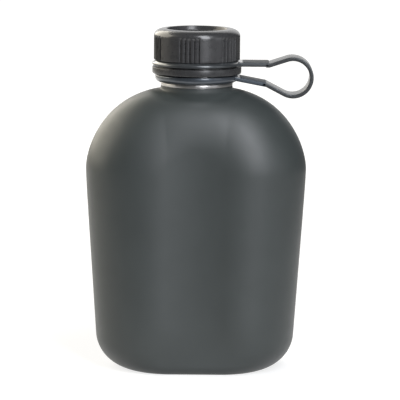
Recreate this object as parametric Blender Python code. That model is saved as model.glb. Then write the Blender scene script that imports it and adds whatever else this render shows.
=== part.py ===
"""A one-quart field canteen: a hip-shaped metal flask, its welded neck, a screw cap and the cap's strap.

Metres, +Z up. The origin is on the neck's axis, in the plane that the flask stands on.
The hollow of the hip side faces -Y, and the strap's loop reaches out along +X.
"""

import math

import bmesh
import bpy
import numpy as np
from mathutils import Vector

# Flask: its outline seen from the front
BODY_HALF_WIDTH = 0.0672
FOOT_HALF_WIDTH = 0.0587
WIDEST_HEIGHT = 0.1213
WIDEST_EASING = 0.010
SHOULDER_RISE = 0.0505
SHOULDER_SIDE_POWER = 2.80
SHOULDER_CROWN_POWER = 1.71
SIDE_CORNER_RADIUS = 0.0200
BASE_EDGE_RADIUS = 0.0060

# Flask: its section seen from above
HALF_THICKNESS = 0.0355
EDGE_ROUND_RUN = 0.0422
EDGE_ROUND_POWER = 2.10
BEND_RADIUS = 0.122
FLAT_TOP_ABOVE_WIDEST = 0.0142
BEND_SHIFT = 0.0016
FOOT_BEND_SHARE = 0.05
BEND_FADE_HEIGHT = 0.030
FOOT_FLAT_SHARE = 0.60
FLAT_FADE_HEIGHT = 0.014
SHELL_WALL = 0.0009
SHELL_COLUMNS = 64
SECTION_SAMPLES = 360
BASE_EDGE_RINGS = 4
SIDE_CORNER_RINGS = 5
SIDE_RINGS = 3
SHOULDER_RINGS = 15
NECK_RINGS = 4

# Neck of the shell, and the collar that is welded into it
NECK_RADIUS = 0.0217
NECK_STUB_HEIGHT = 0.0003
NECK_FILLET = 0.0022
NECK_FILLET_RUN = 0.0028
WELD_GAP = 0.0003
SPIGOT_LENGTH = 0.0024
COLLAR_BAND_HEIGHT = 0.0019
COLLAR_BAND_LEDGE = 0.0008
COLLAR_WALL = 0.0021
BARREL_HEIGHT = 0.0236
MOUTH_LIP_RADIUS = 0.0008

# Clearances
SEAT_GAP = 0.0003
RUNNING_GAP = 0.0003
CAP_FOOT_GAP = 0.0005
THREAD_ROOM = 0.0015

# Cap
CAP_WALL = 0.0036
CAP_LIP_OVERHANG = 0.0009
CAP_LIP_HEIGHT = 0.0046
CAP_LIP_LEAD_IN = 0.0008
CAP_GROOVE_DEPTH = 0.0018
CAP_SHOULDER_RUN = 0.0060
CAP_SHOULDER_DROP = 0.0042
CAP_CROWN_WIDTH = 0.0033
CAP_DISH_CORNER_RUN = 0.0020
CAP_DISH_DEPTH = 0.0036
CAP_TOP_WALL = 0.0025
GRIP_GROUPS = 6
GROOVES_IN_GROUP = 5
GROOVE_PITCH_DEG = 6.2
GROOVE_RADIUS = 0.0009
GROOVE_DEPTH = 0.0008
GROOVE_FOOT = 0.0004
GROOVE_HEAD = 0.0028
GROOVE_SIDES = 10
GRIP_FIRST_GROUP_DEG = -100.5

# Gasket in the cap's top
GASKET_THICKNESS = 0.0020
GASKET_HOLE_RADIUS = 0.0120
GASKET_EDGE = 0.0004

# Strap: one soft moulding of two rings, two arms and a thin loop
STRAP_WIDTH = 0.0200
ARM_THICKNESS = 0.0025
ARM_ROOT_IN_RING = 0.0004
ARM_EDGE_BEVEL = 0.0004
LOWER_RING_HEIGHT = 0.0045
LOWER_RING_WIDTH = 0.0040
LOWER_RING_UNDERCUT = 0.0026
LOWER_RING_RIM = 0.0018
LOWER_ARM_LENGTH = 0.0166
LOWER_ARM_DROP = 0.0003
LOWER_ARM_SLOPE_DEG = -12.0
UPPER_RING_HEIGHT = 0.0032
UPPER_RING_WIDTH = 0.0025
UPPER_RING_ROUND = 0.0009
UPPER_ARM_LENGTH = 0.0166
LOOP_THICKNESS = 0.0019
LOOP_RADIUS = 0.0117
LOOP_STRAIGHT = 0.0023
LOOP_RISE = 0.0042
LOOP_STEP_DEG = 15.0

# Facets
TURN_STEPS = 60
INNER_TURN_STEPS = 40
CORNER_STEPS = 3
CURVE_STEPS = 4
CAP_SHOULDER_STEPS = 5
SMOOTH_ANGLE_DEG = 35.0


def arc(centre_r, centre_z, run_r, run_z, start_deg, end_deg, steps):
    """Points along an elliptical arc in the (radius, height) plane."""
    points = []
    for step in range(steps + 1):
        angle = math.radians(start_deg + (end_deg - start_deg) * step / steps)
        points.append((centre_r + run_r * math.cos(angle), centre_z + run_z * math.sin(angle)))
    return points


def material(name, colour, roughness, metallic):
    """A plain finish for one kind of piece."""
    finish = bpy.data.materials.new(name)
    finish.use_nodes = True
    shader = finish.node_tree.nodes["Principled BSDF"]
    shader.inputs["Base Color"].default_value = (*colour, 1.0)
    shader.inputs["Roughness"].default_value = roughness
    shader.inputs["Metallic"].default_value = metallic
    return finish


def add_object(name, mesh, finish):
    """Put one piece in the scene, shaded smooth but for its sharp edges."""
    piece = bpy.data.objects.new(name, mesh)
    bpy.context.scene.collection.objects.link(piece)
    mesh.materials.append(finish)
    mesh.shade_smooth()
    mesh.set_sharp_from_angle(angle=math.radians(SMOOTH_ANGLE_DEG))
    return piece


def turned_mesh(name, profile, steps=TURN_STEPS):
    """Spin a closed outline of (radius, height) points once round the neck's axis."""
    work = bmesh.new()
    outline = [work.verts.new((radius, 0.0, height)) for radius, height in profile]
    count = len(outline)
    edges = [work.edges.new((outline[i], outline[(i + 1) % count])) for i in range(count)]
    bmesh.ops.spin(
        work,
        geom=outline + edges,
        cent=(0.0, 0.0, 0.0),
        axis=(0.0, 0.0, 1.0),
        angle=2.0 * math.pi,
        steps=steps,
        use_merge=True,
    )
    bmesh.ops.remove_doubles(work, verts=work.verts, dist=1e-6)
    bmesh.ops.dissolve_degenerate(work, edges=work.edges, dist=1e-7)
    bmesh.ops.recalc_face_normals(work, faces=work.faces)
    mesh = bpy.data.meshes.new(name)
    work.to_mesh(mesh)
    work.free()
    return mesh


def join_solids(target, tool, operation):
    """Apply an exact boolean of two solids and drop the tool."""
    cut = target.modifiers.new(operation.lower(), "BOOLEAN")
    cut.operation = operation
    cut.solver = "EXACT"
    cut.object = tool
    graph = bpy.context.evaluated_depsgraph_get()
    result = bpy.data.meshes.new_from_object(target.evaluated_get(graph))
    target.modifiers.remove(cut)
    old = target.data
    target.data = result
    result.name = target.name
    bpy.data.meshes.remove(old)
    tool_mesh = tool.data
    bpy.data.objects.remove(tool)
    bpy.data.meshes.remove(tool_mesh)


def crown_height():
    """Height where the two sides of the front outline would meet over the neck."""
    return WIDEST_HEIGHT + SHOULDER_RISE


def shell_top():
    """Height of the shell's mouth, on the short upright stub that the shoulder sweeps up into."""
    return crown_height() + NECK_STUB_HEIGHT


def band_top():
    """Height of the collar's ledge, the top of its bare band."""
    return shell_top() + WELD_GAP + COLLAR_BAND_HEIGHT


def mouth_height():
    return band_top() + BARREL_HEIGHT


def barrel_radius():
    return NECK_RADIUS - COLLAR_BAND_LEDGE


def lower_ring_foot():
    return band_top() + SEAT_GAP


def lower_ring_bore():
    return barrel_radius() + RUNNING_GAP


def lower_ring_radius():
    return lower_ring_bore() + LOWER_RING_WIDTH


def cap_foot():
    """Height of the cap's lower edge, a little over the strap's lower ring."""
    return lower_ring_foot() + LOWER_RING_HEIGHT + CAP_FOOT_GAP


def cap_bore():
    return barrel_radius() + THREAD_ROOM


def cap_radius():
    return cap_bore() + CAP_WALL


def strap_groove_foot():
    """Height of the ledge in the cap that the strap's upper ring rests over."""
    return cap_foot() + CAP_LIP_HEIGHT


def strap_groove_radius():
    return cap_radius() - CAP_GROOVE_DEPTH


def upper_ring_foot():
    return strap_groove_foot() + RUNNING_GAP


def upper_ring_bore():
    return strap_groove_radius() + RUNNING_GAP


def upper_ring_radius():
    return upper_ring_bore() + UPPER_RING_WIDTH


def cap_side_foot():
    """Height where the cap's grip starts, just over the strap's upper ring."""
    return upper_ring_foot() + UPPER_RING_HEIGHT + RUNNING_GAP


def gasket_foot():
    return mouth_height() + SEAT_GAP


def cap_underside():
    return gasket_foot() + GASKET_THICKNESS + SEAT_GAP


def cap_dish_floor():
    return cap_underside() + CAP_TOP_WALL


def cap_top():
    return cap_dish_floor() + CAP_DISH_DEPTH


def rising_share(height, foot_share, fade_height):
    """A share of the flask's section that rises smoothly from its value at the foot to the whole."""
    up = min(height / fade_height, 1.0)
    return foot_share + (1.0 - foot_share) * up * up * (3.0 - 2.0 * up)


def flat_half_length(height):
    """Half the length of the flask's flat, which runs out towards the foot."""
    whole = BODY_HALF_WIDTH - EDGE_ROUND_RUN
    return whole * rising_share(height, FOOT_FLAT_SHARE, FLAT_FADE_HEIGHT)


def taper(height):
    """Half the flask's width where the sides run straight, eased into the widest line."""
    below = WIDEST_HEIGHT - height
    eased = 0.5 * (below + math.hypot(below, WIDEST_EASING))
    slope = (BODY_HALF_WIDTH - FOOT_HALF_WIDTH) / WIDEST_HEIGHT
    return BODY_HALF_WIDTH - slope * eased


def edge_of_outline(height):
    """Half the width of the front outline at a height: foot corner, straight side, shoulder arch."""
    width = taper(height)
    if height < SIDE_CORNER_RADIUS:
        drop = SIDE_CORNER_RADIUS - height
        return width - SIDE_CORNER_RADIUS + math.sqrt(SIDE_CORNER_RADIUS**2 - drop**2)
    rise = min(max(height - WIDEST_HEIGHT, 0.0) / SHOULDER_RISE, 1.0)
    return width * (1.0 - rise**SHOULDER_CROWN_POWER) ** (1.0 / SHOULDER_SIDE_POWER)


def roll_fraction(across, height):
    """0 on the flask's flat, rising to 1 on its outline; the round edge lies between."""
    rise = height - WIDEST_HEIGHT
    if rise <= 0.0:
        run = edge_of_outline(height) - flat_half_length(height)
        return min(max((across - flat_half_length(height)) / run, 0.0), 1.0)
    flat = math.hypot(across / flat_half_length(height), rise / FLAT_TOP_ABOVE_WIDEST)
    if flat <= 1.0:
        return 0.0
    side = across / taper(height)
    crown = rise / SHOULDER_RISE
    outline = side**SHOULDER_SIDE_POWER + crown**SHOULDER_CROWN_POWER
    share = side**2 / (side**2 + crown**2)
    power = SHOULDER_SIDE_POWER * share + SHOULDER_CROWN_POWER * (1.0 - share)
    inner = 1.0 / flat
    return min(max((1.0 - inner) / (outline ** (-1.0 / power) - inner), 0.0), 1.0)


def half_thickness(across, height):
    """Half the flask's thickness at a distance across from its middle, before it is bent."""
    thickness = HALF_THICKNESS
    if height < BASE_EDGE_RADIUS:
        drop = BASE_EDGE_RADIUS - height
        thickness -= BASE_EDGE_RADIUS - math.sqrt(BASE_EDGE_RADIUS**2 - drop**2)
    rolled = roll_fraction(across, height) ** EDGE_ROUND_POWER
    return thickness * (1.0 - rolled) ** (1.0 / EDGE_ROUND_POWER)


def bend_radius(height):
    """Radius of the bend round the hip: the foot is nearly straight, the flask above it is not."""
    return BEND_RADIUS / rising_share(height, FOOT_BEND_SHARE, BEND_FADE_HEIGHT)


def bent(across, thick, height):
    """Bend a point of the flat flask round the hip: an arc in the middle, straight past its ends."""
    radius = bend_radius(height)
    on_arc = min(max(across, -flat_half_length(height)), flat_half_length(height))
    angle = on_arc / radius
    past = across - on_arc
    x = (radius + thick) * math.sin(angle) + past * math.cos(angle)
    y = (radius + thick) * math.cos(angle) - past * math.sin(angle)
    return x, y - radius + BEND_SHIFT


def section(height, columns):
    """One ring of the flask: its bent section, merged with the round neck by a fillet.

    The fillet grows from nothing at the widest line, so that the shoulder starts without a step.
    """
    edge = edge_of_outline(height)
    angles = []
    radii = []
    for sample in range(SECTION_SAMPLES):
        turn = 2.0 * math.pi * sample / SECTION_SAMPLES
        across = edge * math.cos(turn)
        thick = math.copysign(half_thickness(abs(across), height), math.sin(turn))
        if sample in (0, SECTION_SAMPLES // 2):
            thick = 0.0
        x, y = bent(across, thick, height)
        angles.append(math.atan2(y, x))
        radii.append(math.hypot(x, y))
    wanted = [2.0 * math.pi * column / columns for column in range(columns)]
    reach = np.interp(wanted, angles, radii, period=2.0 * math.pi)
    fillet = NECK_FILLET * min((shell_top() - height) / NECK_FILLET_RUN, 1.0)
    fillet *= rising_share(height - WIDEST_HEIGHT, 0.0, shell_top() - WIDEST_HEIGHT)
    ring = []
    for angle, radius in zip(wanted, reach):
        if height > WIDEST_HEIGHT:
            radius = 0.5 * (radius + NECK_RADIUS + math.hypot(radius - NECK_RADIUS, fillet))
        ring.append((radius * math.cos(angle), radius * math.sin(angle), height))
    return ring


def ring_heights():
    """Heights of the shell's rings, close together where it curves."""
    heights = []
    for step in range(BASE_EDGE_RINGS):
        heights.append(BASE_EDGE_RADIUS * (1.0 - math.cos(math.radians(90.0 * step / BASE_EDGE_RINGS))))
    start = math.acos(1.0 - BASE_EDGE_RADIUS / SIDE_CORNER_RADIUS)
    for step in range(SIDE_CORNER_RINGS):
        turn = start + (0.5 * math.pi - start) * step / SIDE_CORNER_RINGS
        heights.append(SIDE_CORNER_RADIUS * (1.0 - math.cos(turn)))
    shoulder_start = WIDEST_HEIGHT - WIDEST_EASING
    for step in range(SIDE_RINGS):
        heights.append(SIDE_CORNER_RADIUS + (shoulder_start - SIDE_CORNER_RADIUS) * step / SIDE_RINGS)
    heights.append(shoulder_start)
    neck_start = shell_top() - NECK_FILLET_RUN
    top = math.asin((neck_start - WIDEST_HEIGHT) / SHOULDER_RISE)
    for step in range(SHOULDER_RINGS):
        heights.append(WIDEST_HEIGHT + SHOULDER_RISE * math.sin(top * step / SHOULDER_RINGS))
    for step in range(NECK_RINGS + 1):
        heights.append(neck_start + NECK_FILLET_RUN * step / NECK_RINGS)
    return heights


def bottle_shell():
    """Deep-drawn shell: closed at the foot, open at the neck, one even wall."""
    work = bmesh.new()
    rings = []
    for height in ring_heights():
        rings.append([work.verts.new(point) for point in section(height, SHELL_COLUMNS)])
    for below, above in zip(rings, rings[1:]):
        for column in range(SHELL_COLUMNS):
            after = (column + 1) % SHELL_COLUMNS
            work.faces.new((below[column], below[after], above[after], above[column]))
    work.faces.new(list(reversed(rings[0])))
    bmesh.ops.recalc_face_normals(work, faces=work.faces)
    mesh = bpy.data.meshes.new("bottle_shell")
    work.to_mesh(mesh)
    work.free()
    coat = material("powder_coat_grey", (0.061, 0.072, 0.070), 0.45, 0.0)
    shell = add_object("bottle_shell", mesh, coat)
    wall = shell.modifiers.new("wall", "SOLIDIFY")
    wall.thickness = SHELL_WALL
    wall.offset = -1.0
    wall.use_even_offset = True
    wall.use_rim = True


def neck_collar():
    """Welded neck: a spigot inside the shell's mouth, a bare band, a barrel and a rolled lip."""
    spigot = NECK_RADIUS - SHELL_WALL - WELD_GAP
    spigot_foot = shell_top() - SPIGOT_LENGTH
    bore = barrel_radius() - COLLAR_WALL
    lip = MOUTH_LIP_RADIUS
    lip_foot = mouth_height() - lip
    profile = [
        (bore, spigot_foot),
        (spigot, spigot_foot),
        (spigot, shell_top() + WELD_GAP),
        (NECK_RADIUS, shell_top() + WELD_GAP),
        (NECK_RADIUS, band_top()),
        (barrel_radius(), band_top()),
    ]
    profile += arc(barrel_radius() - lip, lip_foot, lip, lip, 0.0, 90.0, CORNER_STEPS)
    profile += arc(bore + lip, lip_foot, lip, lip, 90.0, 180.0, CORNER_STEPS)
    steel = material("bare_steel", (0.62, 0.62, 0.61), 0.22, 1.0)
    add_object("neck_collar", turned_mesh("neck_collar", profile, INNER_TURN_STEPS), steel)


def grip_groove_cutters():
    """Upright round cutters for the grooves: groups of five round the cap's side."""
    work = bmesh.new()
    foot = cap_side_foot() + GROOVE_FOOT
    height = cap_top() - GROOVE_HEAD - foot
    reach = cap_radius() - GROOVE_DEPTH + GROOVE_RADIUS
    for group in range(GRIP_GROUPS):
        middle = GRIP_FIRST_GROUP_DEG + 360.0 * group / GRIP_GROUPS
        for groove in range(GROOVES_IN_GROUP):
            offset = groove - 0.5 * (GROOVES_IN_GROUP - 1)
            angle = math.radians(middle + GROOVE_PITCH_DEG * offset)
            made = bmesh.ops.create_cone(
                work,
                cap_ends=True,
                segments=GROOVE_SIDES,
                radius1=GROOVE_RADIUS,
                radius2=GROOVE_RADIUS,
                depth=height,
            )
            centre = Vector((reach * math.cos(angle), reach * math.sin(angle), foot + 0.5 * height))
            bmesh.ops.translate(work, verts=made["verts"], vec=centre)
    mesh = bpy.data.meshes.new("grip_grooves")
    work.to_mesh(mesh)
    work.free()
    cutter = bpy.data.objects.new("grip_grooves", mesh)
    bpy.context.scene.collection.objects.link(cutter)
    return cutter


def cap():
    """Moulded cap: lip, groove for the strap's ring, grooved grip, round shoulder, dished top."""
    side = cap_radius()
    lip = side + CAP_LIP_OVERHANG
    shoulder_r = side - CAP_SHOULDER_RUN
    shoulder_z = cap_top() - CAP_SHOULDER_DROP
    dish_r = shoulder_r - CAP_CROWN_WIDTH - CAP_DISH_CORNER_RUN
    profile = [
        (0.0, cap_underside()),
        (cap_bore(), cap_underside()),
        (cap_bore(), cap_foot()),
        (lip - CAP_LIP_LEAD_IN, cap_foot()),
        (lip, cap_foot() + CAP_LIP_LEAD_IN),
        (lip, strap_groove_foot()),
        (strap_groove_radius(), strap_groove_foot()),
        (strap_groove_radius(), cap_side_foot()),
        (side, cap_side_foot()),
    ]
    run = CAP_SHOULDER_RUN
    profile += arc(shoulder_r, shoulder_z, run, CAP_SHOULDER_DROP, 0.0, 90.0, CAP_SHOULDER_STEPS)
    profile += arc(dish_r, cap_top(), CAP_DISH_CORNER_RUN, CAP_DISH_DEPTH, 0.0, -90.0, CURVE_STEPS)
    profile.append((0.0, cap_dish_floor()))
    plastic = material("moulded_plastic_black", (0.045, 0.046, 0.048), 0.28, 0.0)
    piece = add_object("cap", turned_mesh("cap", profile), plastic)
    join_solids(piece, grip_groove_cutters(), "DIFFERENCE")


def cap_gasket():
    """Rubber washer between the mouth's lip and the cap's top."""
    foot = gasket_foot()
    top = foot + GASKET_THICKNESS
    rim = cap_bore() - RUNNING_GAP
    profile = [
        (GASKET_HOLE_RADIUS, foot),
        (rim - GASKET_EDGE, foot),
        (rim, foot + GASKET_EDGE),
        (rim, top - GASKET_EDGE),
        (rim - GASKET_EDGE, top),
        (GASKET_HOLE_RADIUS, top),
    ]
    rubber = material("gasket_rubber", (0.32, 0.31, 0.29), 0.7, 0.0)
    add_object("cap_gasket", turned_mesh("cap_gasket", profile, INNER_TURN_STEPS), rubber)


def band_mesh(name, centre_line, normals, thickness, bevel):
    """A flat band of the strap's width that follows a line in the XZ plane."""
    work = bmesh.new()
    half = 0.5 * thickness
    outer = [(x + nx * half, z + nz * half) for (x, z), (nx, nz) in zip(centre_line, normals)]
    inner = [(x - nx * half, z - nz * half) for (x, z), (nx, nz) in zip(centre_line, normals)]
    sides = []
    for y in (-0.5 * STRAP_WIDTH, 0.5 * STRAP_WIDTH):
        top = [work.verts.new((x, y, z)) for x, z in outer]
        bottom = [work.verts.new((x, y, z)) for x, z in inner]
        sides.append((top, bottom))
    (top_a, bottom_a), (top_b, bottom_b) = sides
    for i in range(len(centre_line) - 1):
        work.faces.new((top_a[i], top_a[i + 1], top_b[i + 1], top_b[i]))
        work.faces.new((bottom_a[i], bottom_b[i], bottom_b[i + 1], bottom_a[i + 1]))
        work.faces.new((top_a[i], bottom_a[i], bottom_a[i + 1], top_a[i + 1]))
        work.faces.new((top_b[i], top_b[i + 1], bottom_b[i + 1], bottom_b[i]))
    work.faces.new((top_a[0], top_b[0], bottom_b[0], bottom_a[0]))
    work.faces.new((top_a[-1], bottom_a[-1], bottom_b[-1], top_b[-1]))
    bmesh.ops.recalc_face_normals(work, faces=work.faces)
    if bevel:
        long_edges = [edge for edge in work.edges if abs(edge.verts[0].co.y - edge.verts[1].co.y) < 1e-6]
        bmesh.ops.bevel(work, geom=long_edges, offset=bevel, segments=1, affect="EDGES")
    mesh = bpy.data.meshes.new(name)
    work.to_mesh(mesh)
    work.free()
    return mesh


def arm_line(ring_bore, end_x, end_z, slope_deg):
    """The middle line of an arm, from inside its ring to its far end, and the line's normal."""
    root = ring_bore + ARM_ROOT_IN_RING
    slope = math.tan(math.radians(slope_deg))
    normal = (-math.sin(math.radians(slope_deg)), math.cos(math.radians(slope_deg)))
    line = [(root, end_z - slope * (end_x - root)), (end_x, end_z)]
    return line, [normal, normal]


def lower_arm_reach():
    return lower_ring_radius() + LOWER_ARM_LENGTH


def upper_arm_reach():
    return upper_ring_radius() + UPPER_ARM_LENGTH


def lower_arm_end_height():
    """The lower arm leaves its ring just under the ring's top and slopes down."""
    leaves = lower_ring_foot() + LOWER_RING_HEIGHT - LOWER_ARM_DROP - 0.5 * ARM_THICKNESS
    return leaves + math.tan(math.radians(LOWER_ARM_SLOPE_DEG)) * LOWER_ARM_LENGTH


def upper_arm_height():
    """The upper arm lies level, its underside flush with its ring's."""
    return upper_ring_foot() + 0.5 * ARM_THICKNESS


def strap_lower_ring(finish):
    """Lower ring, loose round the collar, with its arm: quarter-round underneath, flat on top."""
    foot = lower_ring_foot()
    top = foot + LOWER_RING_HEIGHT
    bore = lower_ring_bore()
    side = lower_ring_radius()
    run = LOWER_RING_UNDERCUT
    drop = LOWER_RING_HEIGHT - LOWER_RING_RIM
    profile = [(bore, foot)]
    profile += arc(side - run, foot + drop, run, drop, -90.0, 0.0, CURVE_STEPS)
    profile += [(side, top), (bore, top)]
    ring = add_object("strap_lower_ring", turned_mesh("strap_lower_ring", profile), finish)
    line, normals = arm_line(bore, lower_arm_reach(), lower_arm_end_height(), LOWER_ARM_SLOPE_DEG)
    arm_mesh = band_mesh("lower_arm", line, normals, ARM_THICKNESS, ARM_EDGE_BEVEL)
    arm = add_object("lower_arm", arm_mesh, finish)
    join_solids(ring, arm, "UNION")


def strap_upper_ring(finish):
    """Upper ring, snapped into the cap's groove, with its arm."""
    foot = upper_ring_foot()
    top = foot + UPPER_RING_HEIGHT
    bore = upper_ring_bore()
    side = upper_ring_radius()
    corner = UPPER_RING_ROUND
    profile = [(bore, foot), (side, foot)]
    profile += arc(side - corner, top - corner, corner, corner, 0.0, 90.0, CORNER_STEPS)
    profile.append((bore, top))
    ring = add_object("strap_upper_ring", turned_mesh("strap_upper_ring", profile), finish)
    line, normals = arm_line(bore, upper_arm_reach(), upper_arm_height(), 0.0)
    arm_mesh = band_mesh("upper_arm", line, normals, ARM_THICKNESS, ARM_EDGE_BEVEL)
    arm = add_object("upper_arm", arm_mesh, finish)
    join_solids(ring, arm, "UNION")


def loop_centre():
    """Centre of the loop's round part, beyond the arms' ends."""
    x = upper_arm_reach() + LOOP_STRAIGHT + LOOP_RADIUS
    return x, lower_arm_end_height() + LOOP_RISE


def tangent_angle(x, z, side):
    """Angle round the loop's centre where the straight run from (x, z) meets the round part."""
    centre_x, centre_z = loop_centre()
    away = math.atan2(z - centre_z, x - centre_x)
    reach = math.hypot(x - centre_x, z - centre_z)
    return away - side * math.acos(LOOP_RADIUS / reach)


def strap_loop(finish):
    """Thin loop between the arms' ends: two straight runs and one round bend."""
    slope = math.radians(LOWER_ARM_SLOPE_DEG)
    centre_x, centre_z = loop_centre()
    upper_start = (upper_arm_reach() + SEAT_GAP, upper_arm_height())
    lower_end_x = lower_arm_reach() + SEAT_GAP * math.cos(slope)
    lower_end = (lower_end_x, lower_arm_end_height() + SEAT_GAP * math.sin(slope))
    first = tangent_angle(*upper_start, 1.0)
    last = tangent_angle(*lower_end, -1.0)
    while first < last:
        first += 2.0 * math.pi
    steps = max(int(round(math.degrees(first - last) / LOOP_STEP_DEG)), 4)
    line = [upper_start]
    normals = [(0.0, 1.0)]
    for step in range(steps + 1):
        angle = first + (last - first) * step / steps
        out = (math.cos(angle), math.sin(angle))
        line.append((centre_x + LOOP_RADIUS * out[0], centre_z + LOOP_RADIUS * out[1]))
        normals.append(out)
    line.append(lower_end)
    normals.append((math.sin(slope), -math.cos(slope)))
    add_object("strap_loop", band_mesh("strap_loop", line, normals, LOOP_THICKNESS, 0.0), finish)


for old in list(bpy.data.objects):
    bpy.data.objects.remove(old)

bottle_shell()
neck_collar()
strap_plastic = material("strap_plastic_blue_black", (0.075, 0.085, 0.100), 0.35, 0.0)
strap_lower_ring(strap_plastic)
strap_loop(strap_plastic)
strap_upper_ring(strap_plastic)
cap()
cap_gasket()
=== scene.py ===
import math

import bmesh
import bpy
import numpy as np
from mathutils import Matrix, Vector


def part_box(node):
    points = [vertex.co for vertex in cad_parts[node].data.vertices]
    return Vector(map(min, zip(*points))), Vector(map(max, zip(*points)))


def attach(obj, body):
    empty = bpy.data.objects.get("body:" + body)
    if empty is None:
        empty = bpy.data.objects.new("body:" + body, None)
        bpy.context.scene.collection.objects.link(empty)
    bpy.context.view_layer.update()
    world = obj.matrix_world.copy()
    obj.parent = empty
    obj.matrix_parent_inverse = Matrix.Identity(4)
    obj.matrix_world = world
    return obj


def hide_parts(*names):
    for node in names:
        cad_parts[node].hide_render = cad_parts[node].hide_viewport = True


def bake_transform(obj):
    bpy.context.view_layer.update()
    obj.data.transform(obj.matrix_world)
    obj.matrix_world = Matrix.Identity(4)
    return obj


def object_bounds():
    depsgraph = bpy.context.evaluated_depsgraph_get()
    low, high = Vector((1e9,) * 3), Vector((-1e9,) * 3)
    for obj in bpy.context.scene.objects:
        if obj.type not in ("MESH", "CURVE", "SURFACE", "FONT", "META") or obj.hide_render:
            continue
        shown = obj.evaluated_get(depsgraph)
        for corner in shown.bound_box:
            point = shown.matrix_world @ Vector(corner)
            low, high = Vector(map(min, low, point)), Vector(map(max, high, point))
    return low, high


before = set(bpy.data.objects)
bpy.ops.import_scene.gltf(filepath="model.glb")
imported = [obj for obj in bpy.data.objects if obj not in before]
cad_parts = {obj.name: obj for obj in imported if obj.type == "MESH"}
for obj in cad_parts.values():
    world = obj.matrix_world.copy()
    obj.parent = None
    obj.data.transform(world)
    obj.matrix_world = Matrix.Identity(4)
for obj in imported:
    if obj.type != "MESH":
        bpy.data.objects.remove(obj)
cad_low, cad_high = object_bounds()


# The view. A long lens stands about two metres in front of the canteen's hollow side, a little over its cap,
# and leans by half a degree.
VIEW_FROM = Vector((0.0, -1.94, 0.379))
VIEW_AT = Vector((0.0026, 0.0, 0.1022))
VIEW_TILT_DEG = 0.5
SENSOR_WIDTH = 36.0
WIDTH_IN_VIEW = 0.2426

lens = bpy.data.cameras.new("camera")
camera = bpy.data.objects.new("camera", lens)
bpy.context.scene.collection.objects.link(camera)
sight = VIEW_AT - VIEW_FROM
lens.sensor_width = SENSOR_WIDTH
lens.lens = SENSOR_WIDTH * sight.length / WIDTH_IN_VIEW
camera.location = VIEW_FROM
camera.rotation_euler = sight.to_track_quat("-Z", "Y").to_euler()
camera.rotation_euler.rotate_axis("Z", math.radians(VIEW_TILT_DEG))
bpy.context.scene.camera = camera
bpy.context.scene.view_settings.view_transform = "Standard"


# The studio. A tall soft lamp stands high on the right of the view with a small fill lamp beside it, and a
# broad warm wall of light on the left, behind the canteen. A tall white backdrop closes the room, and a strip
# of white paper lies on the table. The room and the table look white to the camera from every side.
ROOM_LIGHT = 0.02
BACKDROP_LIGHT = 1.0
BACKDROP_EDGE = (0.83, 0.97)
BACKDROP_TALLER = 0.35
LAMP_TURN_DEG = 23.5
LAMP_RISE_DEG = 34.0
LAMP_DISTANCE = 1.3
LAMP_WIDTH = 0.48
LAMP_HEIGHT = 1.60
LAMP_WATTS = 23.2
LAMP_COLOUR = (0.935, 0.955, 1.0)
FILL_TURN_DEG = 60.0
FILL_RISE_DEG = 10.0
FILL_DISTANCE = 1.3
FILL_SIZE = 0.5
FILL_WATTS = 1.0
WALL_TURN_DEG = -121.0
WALL_RISE_DEG = 27.0
WALL_DISTANCE = 1.6
WALL_WIDTH = 2.4
WALL_HEIGHT = 1.3
WALL_WATTS = 37.0
WALL_COLOUR = (1.0, 0.935, 0.80)
TABLE_REACH = 6.0
TABLE_FRONT = -0.32
TABLE_GREY = 0.35
TABLE_GLOW_NEAR = 0.76
TABLE_GLOW_FAR = 1.0
TABLE_FAR = 2.6
PAPER_MIDDLE = -0.25
PAPER_EDGE = (0.55, 0.85)


def sums(tree):
    """A shorthand for a tree's arithmetic: m(operation, a, b, c) takes sockets or numbers."""

    def m(operation, *values):
        node = tree.nodes.new("ShaderNodeMath")
        node.operation = operation
        for socket, value in zip(node.inputs, values):
            if isinstance(value, (int, float)):
                socket.default_value = value
            else:
                tree.links.new(value, socket)
        return node.outputs[0]

    return m


def spread(tree, value, start, end, low=0.0, high=1.0, shape="LINEAR"):
    """A value that goes from low to high while another goes from start to end, and stays level past them."""
    made = tree.nodes.new("ShaderNodeMapRange")
    made.interpolation_type = shape
    made.inputs["From Min"].default_value = start
    made.inputs["From Max"].default_value = end
    made.inputs["To Min"].default_value = low
    made.inputs["To Max"].default_value = high
    tree.links.new(value, made.inputs["Value"])
    return made.outputs["Result"]


room = bpy.data.worlds.new("studio")
bpy.context.scene.world = room
room.use_nodes = True
nodes, links = room.node_tree.nodes, room.node_tree.links
m = sums(room.node_tree)
looking = nodes.new("ShaderNodeTexCoord")
axes = nodes.new("ShaderNodeSeparateXYZ")
paths = nodes.new("ShaderNodeLightPath")
links.new(looking.outputs["Generated"], axes.inputs["Vector"])
behind = m("MULTIPLY_ADD", axes.outputs["Z"], BACKDROP_TALLER, axes.outputs["Y"])
backdrop = spread(room.node_tree, behind, *BACKDROP_EDGE, ROOM_LIGHT, BACKDROP_LIGHT, "SMOOTHSTEP")
links.new(m("MAXIMUM", backdrop, paths.outputs["Is Camera Ray"]), nodes["Background"].inputs["Strength"])
nodes["Background"].inputs["Color"].default_value = (1.0, 1.0, 1.0, 1.0)


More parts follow.
